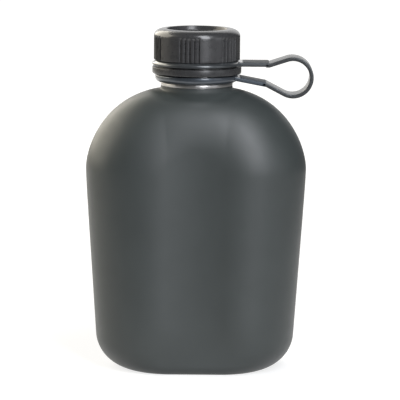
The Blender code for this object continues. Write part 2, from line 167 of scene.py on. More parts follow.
def studio_lamp(name, turn_deg, rise_deg, distance, size, watts, colour):
    """A soft lamp at a turn (0 is in front, 90 on the right) and a rise, aimed at the canteen's middle."""
    light = bpy.data.lights.new(name, "AREA")
    light.shape = "RECTANGLE"
    light.size, light.size_y = size
    light.energy = watts
    light.color = colour
    lamp = bpy.data.objects.new(name, light)
    bpy.context.scene.collection.objects.link(lamp)
    turn, rise = math.radians(turn_deg), math.radians(rise_deg)
    out = Vector((math.sin(turn) * math.cos(rise), -math.cos(turn) * math.cos(rise), math.sin(rise)))
    lamp.location = Vector((0.0, 0.0, 0.5 * cad_high[2])) + distance * out
    lamp.rotation_euler = (-out).to_track_quat("-Z", "Y").to_euler()


lamp_size = (LAMP_WIDTH, LAMP_HEIGHT)
fill_size = (FILL_SIZE, FILL_SIZE)
wall_size = (WALL_WIDTH, WALL_HEIGHT)
studio_lamp("soft_lamp", LAMP_TURN_DEG, LAMP_RISE_DEG, LAMP_DISTANCE, lamp_size, LAMP_WATTS, LAMP_COLOUR)
studio_lamp("fill_lamp", FILL_TURN_DEG, FILL_RISE_DEG, FILL_DISTANCE, fill_size, FILL_WATTS, LAMP_COLOUR)
studio_lamp("light_wall", WALL_TURN_DEG, WALL_RISE_DEG, WALL_DISTANCE, wall_size, WALL_WATTS, WALL_COLOUR)

table_mesh = bpy.data.meshes.new("table")
corners = [
    (-TABLE_REACH, TABLE_FRONT, 0.0),
    (TABLE_REACH, TABLE_FRONT, 0.0),
    (TABLE_REACH, TABLE_REACH, 0.0),
    (-TABLE_REACH, TABLE_REACH, 0.0),
]
table_mesh.from_pydata(corners, [], [(0, 1, 2, 3)])
table = bpy.data.objects.new("table", table_mesh)
bpy.context.scene.collection.objects.link(table)
table_top = bpy.data.materials.new("table_top")
table_top.use_nodes = True
nodes, links = table_top.node_tree.nodes, table_top.node_tree.links
m = sums(table_top.node_tree)
nodes.remove(nodes["Principled BSDF"])
matt = nodes.new("ShaderNodeBsdfDiffuse")
matt.inputs["Color"].default_value = (TABLE_GREY, TABLE_GREY, TABLE_GREY, 1.0)
glow = nodes.new("ShaderNodeEmission")
paths = nodes.new("ShaderNodeLightPath")
place = nodes.new("ShaderNodeTexCoord")
away = nodes.new("ShaderNodeVectorMath")
away.operation = "LENGTH"
axes = nodes.new("ShaderNodeSeparateXYZ")
links.new(place.outputs["Object"], away.inputs[0])
links.new(place.outputs["Object"], axes.inputs["Vector"])
whiter = spread(table_top.node_tree, away.outputs["Value"], 0.0, TABLE_FAR, TABLE_GLOW_NEAR, TABLE_GLOW_FAR)
off_middle = m("ABSOLUTE", m("SUBTRACT", axes.outputs["X"], PAPER_MIDDLE))
paper = spread(table_top.node_tree, off_middle, *PAPER_EDGE, 1.0, 0.0, "SMOOTHSTEP")
mirrored = m("MAXIMUM", paths.outputs["Is Glossy Ray"], paths.outputs["Is Transmission Ray"])
seen = m("MAXIMUM", paths.outputs["Is Camera Ray"], m("MULTIPLY", mirrored, paper))
links.new(m("MULTIPLY", seen, whiter), glow.inputs["Strength"])
both = nodes.new("ShaderNodeAddShader")
links.new(matt.outputs[0], both.inputs[0])
links.new(glow.outputs[0], both.inputs[1])
links.new(both.outputs[0], nodes["Material Output"].inputs["Surface"])
table_mesh.materials.append(table_top)


# Flask shell. Drawn from sheet steel and formed round the hip, so that its section is a bent oval: hollow
# towards the wearer, crowned behind. It is closed at the foot and ends in a short stub that takes the neck.
# Just under the neck the coat is made duller and less reflective, as painted shade where the cap and strap
# shade it.
BODY_HALF_WIDTH = 0.0672
FOOT_HALF_WIDTH = 0.0587
WIDEST_HEIGHT = 0.1213
WIDEST_EASING = 0.010
SHOULDER_RISE = 0.0505
SHOULDER_SIDE_POWER = 2.80
SHOULDER_CROWN_POWER = 1.71
SIDE_CORNER_RADIUS = 0.0200
BASE_EDGE_RADIUS = 0.0060
HALF_THICKNESS = 0.0355
EDGE_ROUND_RUN = 0.0422
EDGE_ROUND_POWER = 2.10
BEND_RADIUS = 0.122
FLAT_TOP_ABOVE_WIDEST = 0.0142
BEND_SHIFT = 0.0016
FOOT_BEND_SHARE = 0.05
BEND_FADE_HEIGHT = 0.030
FOOT_FLAT_SHARE = 0.60
FLAT_FADE_HEIGHT = 0.014
SHELL_WALL = 0.0009
NECK_RADIUS = 0.0217
NECK_FILLET = 0.0022
NECK_FILLET_RUN = 0.0028
SHELL_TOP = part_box("bottle_shell")[1][2]
SHELL_COLUMNS = 256
SECTION_SAMPLES = 1440
FOOT_STEPS = 10
CORNER_STEPS = 14
SIDE_STEPS = 22
EASING_STEPS = 6
CROWN_STEPS = 52
FILLET_STEPS = 12
PATCH_SPAN = (0.3, 0.7)
COAT_GREY = (0.045, 0.052, 0.051)
COAT_ROUGHNESS = (0.44, 0.48)
COAT_SPECULAR = 0.5
# The band of painted shade under the neck: its foot and head in height, its reach from the axis, and how much
# it roughens and dims the coat.
NECK_SHADE_FOOT = (0.1620, 0.1655)
NECK_SHADE_HEAD = (0.1708, 0.1685)
NECK_SHADE_REACH = (0.0310, 0.0255)
NECK_SHADE_ROUGHER = 0.25
NECK_SHADE_SPECULAR = 0.05


def rising_share(height, foot_share, fade_height):
    """A share of the flask's section that rises smoothly from its value at the foot to the whole."""
    up = min(height / fade_height, 1.0)
    return foot_share + (1.0 - foot_share) * up * up * (3.0 - 2.0 * up)


def half_width(height):
    """Half the width of the front outline at a height, and the same without its corner and shoulder."""
    below = WIDEST_HEIGHT - height
    eased = 0.5 * (below + math.hypot(below, WIDEST_EASING))
    straight = BODY_HALF_WIDTH - (BODY_HALF_WIDTH - FOOT_HALF_WIDTH) / WIDEST_HEIGHT * eased
    if height < SIDE_CORNER_RADIUS:
        drop = SIDE_CORNER_RADIUS - height
        return straight - SIDE_CORNER_RADIUS + math.sqrt(SIDE_CORNER_RADIUS**2 - drop**2), straight
    rise = min(max(height - WIDEST_HEIGHT, 0.0) / SHOULDER_RISE, 1.0)
    return straight * (1.0 - rise**SHOULDER_CROWN_POWER) ** (1.0 / SHOULDER_SIDE_POWER), straight


def roundness(across, height, edge, straight, flat_half):
    """0 on the flask's flat and 1 on its outline, for an array of distances from the middle."""
    rise = height - WIDEST_HEIGHT
    if rise <= 0.0:
        return np.clip((across - flat_half) / (edge - flat_half), 0.0, 1.0)
    flat = np.hypot(across / flat_half, rise / FLAT_TOP_ABOVE_WIDEST)
    side = across / straight
    crown = rise / SHOULDER_RISE
    share = side**2 / (side**2 + crown**2)
    power = SHOULDER_SIDE_POWER * share + SHOULDER_CROWN_POWER * (1.0 - share)
    outline = (side**SHOULDER_SIDE_POWER + crown**SHOULDER_CROWN_POWER) ** (-1.0 / power)
    inner = 1.0 / np.maximum(flat, 1.0)
    rolled = (1.0 - inner) / np.maximum(outline - inner, 1e-9)
    return np.where(flat <= 1.0, 0.0, np.clip(rolled, 0.0, 1.0))


def flask_ring(height):
    """One ring of the shell: the bent oval at a height, swept into the round neck by a fillet."""
    edge, straight = half_width(height)
    flat_half = (BODY_HALF_WIDTH - EDGE_ROUND_RUN) * rising_share(height, FOOT_FLAT_SHARE, FLAT_FADE_HEIGHT)
    thickness = HALF_THICKNESS
    if height < BASE_EDGE_RADIUS:
        drop = BASE_EDGE_RADIUS - height
        thickness -= BASE_EDGE_RADIUS - math.sqrt(BASE_EDGE_RADIUS**2 - drop**2)
    turn = 2.0 * math.pi * np.arange(SECTION_SAMPLES) / SECTION_SAMPLES
    across = edge * np.cos(turn)
    rolled = roundness(np.abs(across), height, edge, straight, flat_half) ** EDGE_ROUND_POWER
    thick = thickness * (1.0 - rolled) ** (1.0 / EDGE_ROUND_POWER) * np.sign(np.round(np.sin(turn), 9))
    radius = BEND_RADIUS / rising_share(height, FOOT_BEND_SHARE, BEND_FADE_HEIGHT)
    on_arc = np.clip(across, -flat_half, flat_half)
    angle = on_arc / radius
    past = across - on_arc
    x = (radius + thick) * np.sin(angle) + past * np.cos(angle)
    y = (radius + thick) * np.cos(angle) - past * np.sin(angle) - radius + BEND_SHIFT
    wanted = 2.0 * math.pi * np.arange(SHELL_COLUMNS) / SHELL_COLUMNS
    reach = np.interp(wanted, np.arctan2(y, x), np.hypot(x, y), period=2.0 * math.pi)
    if height > WIDEST_HEIGHT:
        fillet = NECK_FILLET * min((SHELL_TOP - height) / NECK_FILLET_RUN, 1.0)
        fillet *= rising_share(height - WIDEST_HEIGHT, 0.0, SHELL_TOP - WIDEST_HEIGHT)
        reach = 0.5 * (reach + NECK_RADIUS + np.hypot(reach - NECK_RADIUS, fillet))
    return np.stack([reach * np.cos(wanted), reach * np.sin(wanted), np.full(SHELL_COLUMNS, height)], axis=1)


heights = []
for step in range(FOOT_STEPS):
    heights.append(BASE_EDGE_RADIUS * (1.0 - math.cos(0.5 * math.pi * step / FOOT_STEPS)))
corner_start = math.acos(1.0 - BASE_EDGE_RADIUS / SIDE_CORNER_RADIUS)
for step in range(CORNER_STEPS):
    turn = corner_start + (0.5 * math.pi - corner_start) * step / CORNER_STEPS
    heights.append(SIDE_CORNER_RADIUS * (1.0 - math.cos(turn)))
side_run = WIDEST_HEIGHT - WIDEST_EASING - SIDE_CORNER_RADIUS
for step in range(SIDE_STEPS):
    heights.append(SIDE_CORNER_RADIUS + side_run * step / SIDE_STEPS)
for step in range(EASING_STEPS):
    heights.append(WIDEST_HEIGHT - WIDEST_EASING * (1.0 - step / EASING_STEPS))
neck_start = SHELL_TOP - NECK_FILLET_RUN
last_turn = math.asin((neck_start - WIDEST_HEIGHT) / SHOULDER_RISE)
for step in range(CROWN_STEPS):
    heights.append(WIDEST_HEIGHT + SHOULDER_RISE * math.sin(last_turn * step / CROWN_STEPS))
for step in range(FILLET_STEPS + 1):
    heights.append(neck_start + NECK_FILLET_RUN * step / FILLET_STEPS)

rings = [flask_ring(height) for height in heights]
points = np.concatenate(rings)
faces = [tuple(reversed(range(SHELL_COLUMNS)))]
for ring in range(len(heights) - 1):
    for column in range(SHELL_COLUMNS):
        here, after = ring * SHELL_COLUMNS + column, ring * SHELL_COLUMNS + (column + 1) % SHELL_COLUMNS
        faces.append((here, after, after + SHELL_COLUMNS, here + SHELL_COLUMNS))
shell_mesh = bpy.data.meshes.new("flask_shell")
shell_mesh.from_pydata(points.tolist(), [], faces)
shell_mesh.shade_smooth()
flask_shell = bpy.data.objects.new("flask_shell", shell_mesh)
bpy.context.scene.collection.objects.link(flask_shell)
wall = flask_shell.modifiers.new("sheet", "SOLIDIFY")
wall.thickness = SHELL_WALL
wall.offset = -1.0
wall.use_even_offset = True


def finish(name, colour, roughness, metallic=0.0):
    """A new finish; returns it with its tree and its shader."""
    made = bpy.data.materials.new(name)
    made.use_nodes = True
    shader = made.node_tree.nodes["Principled BSDF"]
    shader.inputs["Base Color"].default_value = (*colour, 1.0)
    shader.inputs["Roughness"].default_value = roughness
    shader.inputs["Metallic"].default_value = metallic
    return made, made.node_tree, shader


def patches(tree, size, detail=2.0, stretch=(1.0, 1.0, 1.0)):
    """Noise over a piece's own coordinates, in patches of about the given size."""
    place = tree.nodes.new("ShaderNodeTexCoord")
    mapped = tree.nodes.new("ShaderNodeMapping")
    mapped.inputs["Scale"].default_value = stretch
    noise = tree.nodes.new("ShaderNodeTexNoise")
    noise.inputs["Scale"].default_value = 1.0 / size
    noise.inputs["Detail"].default_value = detail
    tree.links.new(place.outputs["Object"], mapped.inputs["Vector"])
    tree.links.new(mapped.outputs["Vector"], noise.inputs["Vector"])
    return noise.outputs["Fac"]


def mottled_colour(tree, shader, colour, size, share):
    """Let the colour wander by a share, up and down, in patches of about the given size."""
    ramp = tree.nodes.new("ShaderNodeValToRGB")
    for stop, position, shade in zip(ramp.color_ramp.elements, PATCH_SPAN, (1.0 - share, 1.0 + share)):
        stop.position = position
        stop.color = (*[shade * value for value in colour], 1.0)
    tree.links.new(patches(tree, size), ramp.inputs["Fac"])
    tree.links.new(ramp.outputs["Color"], shader.inputs["Base Color"])


def mottled_gloss(tree, size, low, high):
    """A roughness that wanders between two values in patches of about the given size."""
    return spread(tree, patches(tree, size), *PATCH_SPAN, low, high)


def grain(tree, shader, size, height, strength, stretch=(1.0, 1.0, 1.0)):
    """A fine relief on the surface: grains of the given size and height."""
    relief = tree.nodes.new("ShaderNodeBump")
    relief.inputs["Strength"].default_value = strength
    relief.inputs["Distance"].default_value = height
    tree.links.new(patches(tree, size, detail=3.0, stretch=stretch), relief.inputs["Height"])
    tree.links.new(relief.outputs["Normal"], shader.inputs["Normal"])


def place_on_piece(tree):
    """A point's own coordinates, and its distance from the neck's axis."""
    place = tree.nodes.new("ShaderNodeTexCoord")
    axes = tree.nodes.new("ShaderNodeSeparateXYZ")
    tree.links.new(place.outputs["Object"], axes.inputs["Vector"])
    x, y, z = axes.outputs
    m = sums(tree)
    return x, y, z, m("SQRT", m("ADD", m("MULTIPLY", x, x), m("MULTIPLY", y, y)))


powder_coat, tree, shader = finish("powder_coat", COAT_GREY, COAT_ROUGHNESS[0])
mottled_colour(tree, shader, COAT_GREY, size=0.020, share=0.05)
grain(tree, shader, size=0.0006, height=0.00003, strength=0.10)
m = sums(tree)
x, y, z, out = place_on_piece(tree)
# Painted shade: in a band just under the neck the coat is roughened and its reflection turned down, standing
# in for the shade of the cap and strap.
under = spread(tree, z, *NECK_SHADE_FOOT, shape="SMOOTHSTEP")
over = spread(tree, z, *NECK_SHADE_HEAD, shape="SMOOTHSTEP")
near = spread(tree, out, *NECK_SHADE_REACH, shape="SMOOTHSTEP")
painted_neck_shade = m("MULTIPLY", m("MULTIPLY", under, over), near)
roughness = m("MULTIPLY_ADD", painted_neck_shade, NECK_SHADE_ROUGHER, mottled_gloss(tree, 0.006, *COAT_ROUGHNESS))
specular = m("MULTIPLY_ADD", painted_neck_shade, NECK_SHADE_SPECULAR - COAT_SPECULAR, COAT_SPECULAR)
tree.links.new(roughness, shader.inputs["Roughness"])
tree.links.new(specular, shader.inputs["Specular IOR Level"])
shell_mesh.materials.append(powder_coat)
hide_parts("bottle_shell")
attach(flask_shell, "bottle")


# Neck. Turned from stainless steel and left bare: a spigot inside the shell's mouth, a polished band that
# shows under the strap, the barrel with its screw thread, and a rolled lip that the cap's washer seals on.
WELD_GAP = 0.0003
SPIGOT_LENGTH = 0.0024
BAND_HEIGHT = 0.0019
BAND_LEDGE = 0.0008
NECK_WALL = 0.0021
THREAD_PITCH = 0.005
THREAD_TURNS = 2.1
THREAD_DEPTH = 0.0010
THREAD_FOOT_WIDTH = 0.0021
THREAD_CREST_WIDTH = 0.0011
THREAD_SINK = 0.0003
THREAD_UNDER_LIP = 0.0022
THREAD_RUN_OUT = 0.05
THREAD_END_SIZE = 0.25
THREAD_STEPS = 96
SPIGOT_EDGE = 0.0003
BAND_FOOT_EDGE = 0.0002
BAND_TOP_EDGE = 0.0004
LEDGE_CORNER = 0.0002
LIP_ROUND = 0.0008
MOUTH_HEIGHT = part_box("neck_collar")[1][2]
BARREL_RADIUS = NECK_RADIUS - BAND_LEDGE
NECK_BORE = BARREL_RADIUS - NECK_WALL
BAND_TOP = SHELL_TOP + WELD_GAP + BAND_HEIGHT
NECK_THREAD_FOOT = MOUTH_HEIGHT - THREAD_UNDER_LIP - THREAD_TURNS * THREAD_PITCH
SPIGOT_RADIUS = NECK_RADIUS - SHELL_WALL - WELD_GAP
TURN_COLUMNS = 160
NEARLY_STRAIGHT = 1.55
SMOOTH_DEG = 32.0
STEEL_GREY = (0.58, 0.57, 0.56)


def rounded_outline(corners, steps=5):
    """A closed (radius, height) outline whose corners (radius, height, rounding) are eased by true arcs."""
    outline = []
    count = len(corners)
    for i, (r, z, rounding) in enumerate(corners):
        here = Vector((r, z))
        to_last = (Vector(corners[i - 1][:2]) - here).normalized()
        to_next = (Vector(corners[(i + 1) % count][:2]) - here).normalized()
        half_angle = 0.5 * to_last.angle(to_next)
        if rounding <= 0.0 or half_angle > NEARLY_STRAIGHT:
            outline.append((r, z))
            continue
        middle = here + (to_last + to_next).normalized() * (rounding / math.sin(half_angle))
        first = here + to_last * (rounding / math.tan(half_angle)) - middle
        sweep = first.angle_signed(here + to_next * (rounding / math.tan(half_angle)) - middle)
        for step in range(steps + 1):
            turned = -sweep * step / steps
            x = first.x * math.cos(turned) - first.y * math.sin(turned)
            y = first.x * math.sin(turned) + first.y * math.cos(turned)
            outline.append((middle.x + x, middle.y + y))
    return outline


def turned(name, outline, angles):
    """A solid turned on the neck's axis from a closed outline, with a column at each angle."""
    count, turns = len(outline), len(angles)
    rings = np.array(outline)
    out, up = rings[:, 0], rings[:, 1]
    columns = [np.stack([out * math.cos(angle), out * math.sin(angle), up], axis=1) for angle in angles]
    points = np.concatenate(columns)
    faces = []
    for column in range(turns):
        here, after = column * count, (column + 1) % turns * count
        for i in range(count):
            j = (i + 1) % count
            faces.append((here + i, after + i, after + j, here + j))
    mesh = bpy.data.meshes.new(name)
    mesh.from_pydata(points.tolist(), [], faces)
    work = bmesh.new()
    work.from_mesh(mesh)
    bmesh.ops.remove_doubles(work, verts=work.verts, dist=1e-7)
    bmesh.ops.dissolve_degenerate(work, edges=work.edges, dist=1e-8)
    bmesh.ops.recalc_face_normals(work, faces=work.faces)
    work.to_mesh(mesh)
    work.free()
    return mesh


def new_tree(name, sizes):
    """A geometry tree whose group input has the geometry, the named sizes and a finish."""
    tree = bpy.data.node_groups.new(name, "GeometryNodeTree")
    tree.interface.new_socket("Geometry", in_out="INPUT", socket_type="NodeSocketGeometry")
    for size, value in sizes.items():
        made = tree.interface.new_socket(size, in_out="INPUT", socket_type="NodeSocketFloat")
        made.default_value = value
    tree.interface.new_socket("Finish", in_out="INPUT", socket_type="NodeSocketMaterial")
    tree.interface.new_socket("Geometry", in_out="OUTPUT", socket_type="NodeSocketGeometry")
    return tree


def close_tree(tree, geometry, given):
    """End a tree in Realize Instances and Set Material."""
    plain = tree.nodes.new("GeometryNodeRealizeInstances")
    painted = tree.nodes.new("GeometryNodeSetMaterial")
    out = tree.nodes.new("NodeGroupOutput")
    tree.links.new(geometry, plain.inputs["Geometry"])
    tree.links.new(plain.outputs[0], painted.inputs["Geometry"])
    tree.links.new(given.outputs["Finish"], painted.inputs["Material"])
    tree.links.new(painted.outputs[0], out.inputs[0])


def grown(name, start, tree, sizes, material, smooth_deg=SMOOTH_DEG):
    """Run a tree on a mesh or curve and return the result as a plain object."""
    seed = bpy.data.objects.new(name + "_seed", start)
    bpy.context.scene.collection.objects.link(seed)
    grow = seed.modifiers.new("grow", "NODES")
    grow.node_group = tree
    for item in tree.interface.items_tree:
        if item.in_out == "INPUT" and item.name in sizes:
            grow[item.identifier] = sizes[item.name]
        if item.in_out == "INPUT" and item.name == "Finish":
            grow[item.identifier] = material
    bpy.context.view_layer.update()
    graph = bpy.context.evaluated_depsgraph_get()
    mesh = bpy.data.meshes.new_from_object(seed.evaluated_get(graph))
    seed.modifiers.remove(grow)
    bpy.data.objects.remove(seed)
    mesh.name = name
    mesh.shade_smooth()
    mesh.set_sharp_from_angle(angle=math.radians(smooth_deg))
    piece = bpy.data.objects.new(name, mesh)
    bpy.context.scene.collection.objects.link(piece)
    return piece


# The thread's tree: a ridge of trapezoid section that follows a helix, sunk into the wall that carries it and
# run out at both ends. Side is 1 for a ridge that stands outwards and -1 for one that stands inwards.
thread_sizes = {
    "Wall Radius": BARREL_RADIUS,
    "Side": 1.0,
    "Foot": NECK_THREAD_FOOT,
    "Pitch": THREAD_PITCH,
    "Turns": THREAD_TURNS,
    "Depth": THREAD_DEPTH,
    "Sink": THREAD_SINK,
    "Foot Width": THREAD_FOOT_WIDTH,
    "Crest Width": THREAD_CREST_WIDTH,
    "Run Out": THREAD_RUN_OUT,
}
thread_tree = new_tree("screw_thread", thread_sizes)
nodes, links = thread_tree.nodes, thread_tree.links
m = sums(thread_tree)
given = nodes.new("NodeGroupInput")
helix = nodes.new("GeometryNodeCurveSpiral")
helix.inputs["Resolution"].default_value = THREAD_STEPS
helix.inputs["Reverse"].default_value = True
height = m("ADD", given.outputs["Depth"], given.outputs["Sink"])
offset = m("MULTIPLY", m("SUBTRACT", given.outputs["Depth"], given.outputs["Sink"]), 0.5)
middle = m("ADD", given.outputs["Wall Radius"], m("MULTIPLY", offset, given.outputs["Side"]))
links.new(middle, helix.inputs["Start Radius"])
links.new(middle, helix.inputs["End Radius"])
links.new(given.outputs["Turns"], helix.inputs["Rotations"])
links.new(m("MULTIPLY", given.outputs["Turns"], given.outputs["Pitch"]), helix.inputs["Height"])
lift = nodes.new("ShaderNodeCombineXYZ")
links.new(given.outputs["Foot"], lift.inputs["Z"])
raised = nodes.new("GeometryNodeTransform")
links.new(helix.outputs[0], raised.inputs["Geometry"])
links.new(lift.outputs[0], raised.inputs["Translation"])
upright = nodes.new("GeometryNodeSetCurveNormal")
upright.mode = "Z_UP"
links.new(raised.outputs[0], upright.inputs["Curve"])
section = nodes.new("GeometryNodeCurvePrimitiveQuadrilateral")
section.mode = "TRAPEZOID"
links.new(given.outputs["Foot Width"], section.inputs["Bottom Width"])
links.new(given.outputs["Crest Width"], section.inputs["Top Width"])
links.new(height, section.inputs["Height"])
section.inputs["Offset"].default_value = 0.0
spin = nodes.new("ShaderNodeCombineXYZ")
links.new(m("MULTIPLY", given.outputs["Side"], -0.5 * math.pi), spin.inputs["Z"])
laid = nodes.new("GeometryNodeTransform")
links.new(section.outputs[0], laid.inputs["Geometry"])
links.new(spin.outputs[0], laid.inputs["Rotation"])
along = nodes.new("GeometryNodeSplineParameter")
from_end = m("MINIMUM", along.outputs["Factor"], m("SUBTRACT", 1.0, along.outputs["Factor"]))
run_out = m("MINIMUM", m("DIVIDE", from_end, given.outputs["Run Out"]), 1.0)
size = m("MULTIPLY_ADD", run_out, 1.0 - THREAD_END_SIZE, THREAD_END_SIZE)
ridge = nodes.new("GeometryNodeCurveToMesh")
ridge.inputs["Fill Caps"].default_value = True
links.new(upright.outputs[0], ridge.inputs["Curve"])
links.new(laid.outputs[0], ridge.inputs["Profile Curve"])
links.new(size, ridge.inputs["Scale"])
joined = nodes.new("GeometryNodeJoinGeometry")
links.new(given.outputs["Geometry"], joined.inputs[0])
links.new(ridge.outputs[0], joined.inputs[0])
close_tree(thread_tree, joined.outputs[0], given)

bare_steel, tree, shader = finish("bare_steel", STEEL_GREY, roughness=0.32, metallic=1.0)
tree.links.new(mottled_gloss(tree, size=0.004, low=0.28, high=0.36), shader.inputs["Roughness"])
grain(tree, shader, size=0.0005, height=0.00002, strength=0.015, stretch=(0.05, 0.05, 1.0))
neck_outline = rounded_outline([
    (NECK_BORE, SHELL_TOP - SPIGOT_LENGTH, SPIGOT_EDGE),
    (SPIGOT_RADIUS, SHELL_TOP - SPIGOT_LENGTH, SPIGOT_EDGE),
    (SPIGOT_RADIUS, SHELL_TOP + WELD_GAP, 0.0),
    (NECK_RADIUS, SHELL_TOP + WELD_GAP, BAND_FOOT_EDGE),
    (NECK_RADIUS, BAND_TOP, BAND_TOP_EDGE),
    (BARREL_RADIUS, BAND_TOP, LEDGE_CORNER),
    (BARREL_RADIUS, MOUTH_HEIGHT, LIP_ROUND),
    (NECK_BORE, MOUTH_HEIGHT, LIP_ROUND),
])
even_columns = [2.0 * math.pi * step / TURN_COLUMNS for step in range(TURN_COLUMNS)]
neck_mesh = turned("neck", neck_outline, even_columns)
neck = grown("neck", neck_mesh, thread_tree, thread_sizes, bare_steel)
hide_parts("neck_collar")
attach(neck, "bottle")


# Strap, lower ring. The soft moulding's first ring, loose round the neck under the cap: flat on top, quarter
# round underneath, with a flat arm that slopes down to the loop. The cap's lip polishes the ring, and the arm
# stays matt.
RUNNING_GAP = 0.0003
STRAP_WIDTH = 0.0200
ARM_THICKNESS = 0.0025
ARM_ROOT_IN_RING = 0.0004
ARM_EDGE = 0.0006
LOWER_RING_WIDTH = 0.0040
LOWER_RING_HEIGHT = 0.0045
LOWER_RING_UNDERCUT = 0.0026
LOWER_RING_RIM = 0.0018
LOWER_RING_BORE_EDGE = 0.0004
LOWER_RING_TOP_EDGE = 0.0007
UNDERCUT_STEPS = 10
LOWER_RING_BORE = BARREL_RADIUS + RUNNING_GAP
LOWER_RING_RADIUS = LOWER_RING_BORE + LOWER_RING_WIDTH
LOWER_RING_FOOT = BAND_TOP + RUNNING_GAP
LOWER_RING_TOP = LOWER_RING_FOOT + LOWER_RING_HEIGHT
LOWER_ARM_LENGTH = 0.0166
LOWER_ARM_DROP = 0.0011
LOWER_ARM_SLOPE = math.radians(-10.7)
STRAP_BLACK = (0.040, 0.046, 0.054)
STRAP_SHEEN = (0.75, 0.87, 1.0)
RING_GLOSS = 0.34
RING_SKIN = 0.9
STRAP_PATCHY = 0.08
ARM_GLOSS = 0.55
ARM_FADE = 0.001


def strap_finish(name, colour, sheen, arm_start):
    """The strap's plastic: polished on a ring, and matt on its arm, which starts at the given reach."""
    made, tree, shader = finish(name, colour, RING_GLOSS)
    mottled_colour(tree, shader, colour, size=0.005, share=0.06)
    grain(tree, shader, size=0.0008, height=0.00004, strength=0.06)
    x = place_on_piece(tree)[0]
    arm = spread(tree, x, arm_start, arm_start + ARM_FADE, RING_GLOSS, ARM_GLOSS)
    skin = spread(tree, x, arm_start, arm_start + ARM_FADE, RING_SKIN, 0.0)
    gloss = sums(tree)("MULTIPLY_ADD", patches(tree, size=0.0025), STRAP_PATCHY, arm)
    tree.links.new(gloss, shader.inputs["Roughness"])
    tree.links.new(skin, shader.inputs["Coat Weight"])
    shader.inputs["Coat Roughness"].default_value = 0.10
    shader.inputs["Specular IOR Level"].default_value = 0.7
    shader.inputs["Specular Tint"].default_value = (*sheen, 1.0)
    return made


lower_strap_plastic = strap_finish("lower_strap_plastic", STRAP_BLACK, STRAP_SHEEN, LOWER_RING_RADIUS)


def union(ring, arm):
    """Fuse an arm into its ring and drop the arm."""
    fuse = ring.modifiers.new("fuse", "BOOLEAN")
    fuse.operation = "UNION"
    fuse.solver = "EXACT"
    fuse.object = arm
    graph = bpy.context.evaluated_depsgraph_get()
    mesh = bpy.data.meshes.new_from_object(ring.evaluated_get(graph))
    ring.modifiers.remove(fuse)
    ring.data = mesh
    bpy.data.objects.remove(arm)
    mesh.shade_smooth()
    mesh.set_sharp_from_angle(angle=math.radians(SMOOTH_DEG))


def strap_arm(name, root_x, end_x, end_z, slope):
    """A flat arm of the strap's width from its ring to its end, with rounded edges."""
    along = Vector((math.cos(slope), 0.0, math.sin(slope)))
    up = Vector((-math.sin(slope), 0.0, math.cos(slope))) * 0.5 * ARM_THICKNESS
    end = Vector((end_x, 0.0, end_z))
    root = end - along * ((end_x - root_x) / math.cos(slope))
    side = Vector((0.0, 0.5 * STRAP_WIDTH, 0.0))
    turns = (up + side, up - side, -up - side, -up + side)
    corners = [middle + turn for middle in (root, end) for turn in turns]
    faces = [(0, 1, 2, 3), (7, 6, 5, 4), (0, 4, 5, 1), (1, 5, 6, 2), (2, 6, 7, 3), (3, 7, 4, 0)]
    mesh = bpy.data.meshes.new(name)
    mesh.from_pydata([tuple(corner) for corner in corners], [], faces)
    work = bmesh.new()
    work.from_mesh(mesh)
    bmesh.ops.recalc_face_normals(work, faces=work.faces)
    outer = [edge for edge in work.edges if max(vert.index for vert in edge.verts) >= len(turns)]
    bmesh.ops.bevel(work, geom=outer, offset=ARM_EDGE, segments=4, profile=0.5, affect="EDGES")
    work.to_mesh(mesh)
    work.free()
    arm = bpy.data.objects.new(name, mesh)
    bpy.context.scene.collection.objects.link(arm)
    return arm


lower_outline = [
    (LOWER_RING_BORE, LOWER_RING_FOOT, LOWER_RING_BORE_EDGE),
    (LOWER_RING_RADIUS - LOWER_RING_UNDERCUT, LOWER_RING_FOOT, 0.0),
]
for step in range(1, UNDERCUT_STEPS + 1):
    turn = 0.5 * math.pi * step / UNDERCUT_STEPS
    out = LOWER_RING_RADIUS - LOWER_RING_UNDERCUT * (1.0 - math.sin(turn))
    up = LOWER_RING_FOOT + (LOWER_RING_HEIGHT - LOWER_RING_RIM) * (1.0 - math.cos(turn))
    lower_outline.append((out, up, 0.0))
lower_outline.append((LOWER_RING_RADIUS, LOWER_RING_TOP, LOWER_RING_TOP_EDGE))
lower_outline.append((LOWER_RING_BORE, LOWER_RING_TOP, LOWER_RING_BORE_EDGE))
lower_ring_mesh = turned("strap_lower", rounded_outline(lower_outline), even_columns)
strap_lower = bpy.data.objects.new("strap_lower", lower_ring_mesh)
bpy.context.scene.collection.objects.link(strap_lower)
lower_arm_end_x = LOWER_RING_RADIUS + LOWER_ARM_LENGTH
lower_arm_z = LOWER_RING_TOP - LOWER_ARM_DROP - 0.5 * ARM_THICKNESS
lower_arm_end_z = lower_arm_z + math.tan(LOWER_ARM_SLOPE) * LOWER_ARM_LENGTH
lower_arm_root = LOWER_RING_BORE + ARM_ROOT_IN_RING
lower_arm = strap_arm("lower_arm", lower_arm_root, lower_arm_end_x, lower_arm_end_z, LOWER_ARM_SLOPE)
union(strap_lower, lower_arm)
strap_lower.data.materials.clear()
strap_lower.data.materials.append(lower_strap_plastic)
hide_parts("strap_lower_ring")
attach(strap_lower, "strap_lower")


